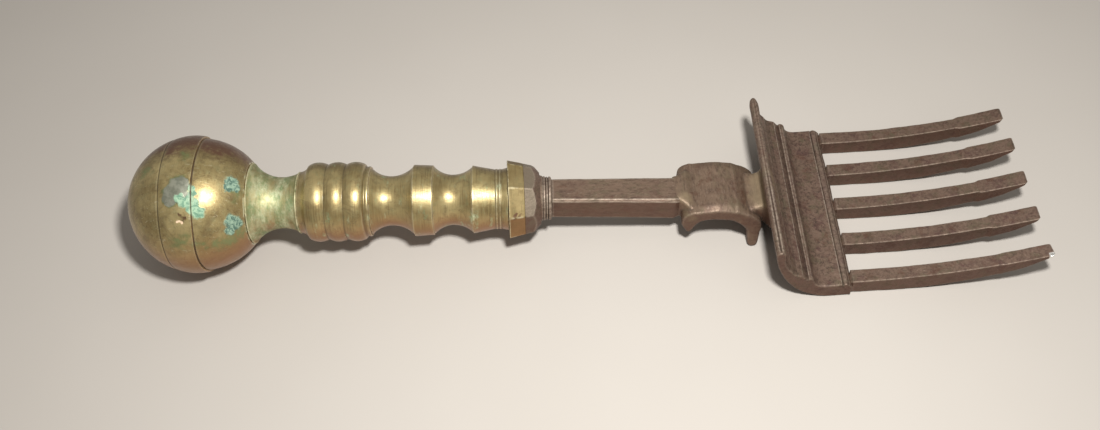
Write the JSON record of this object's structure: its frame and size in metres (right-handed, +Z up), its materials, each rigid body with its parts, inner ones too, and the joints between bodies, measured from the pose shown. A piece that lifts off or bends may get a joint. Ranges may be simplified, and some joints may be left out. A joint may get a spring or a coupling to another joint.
{
  "type": "hand fork",
  "caption": "Tined hand fork with a turned brass handle, hollow ball pommel, octagonal ferrule, arched iron saddle and moulded head plate.",
  "frame": {"origin": "centre of the base of the bounding box, on the surface that the fork lies on", "axes": "+X from the ball pommel to the tine tips, +Y across the row of tines, +Z up from the surface"},
  "size_m": [0.2614, 0.058, 0.0402],
  "materials": {
    "brass": "aged satin with green and brown tarnish",
    "ferrule_brass": "worn, yellower than the grip",
    "bolster_iron": "wiped with old solder, grey",
    "solder": "dull grey soft solder",
    "iron": "dark brown patina, lighter on worn edges"
  },
  "bodies": {
    "root": {"pommel_rear_shell": "brass", "pommel_front_shell": "brass", "pommel_seam_solder": "solder", "tang_washer": "iron", "tang_nut": "iron", "neck_spool": "brass", "reeded_barrel": "brass", "rear_grip_spool": "brass", "middle_band": "brass", "front_grip_spool": "brass", "front_band": "brass", "octagonal_ferrule": "ferrule_brass", "ferrule_bolster": "bolster_iron", "shank_collar": "iron", "shank": "iron", "saddle": "iron", "head_plate": "iron", "tine_1": "iron", "tine_2": "iron", "tine_3": "iron", "tine_4": "iron", "tine_5": "iron"}
  },
  "joints": []
}
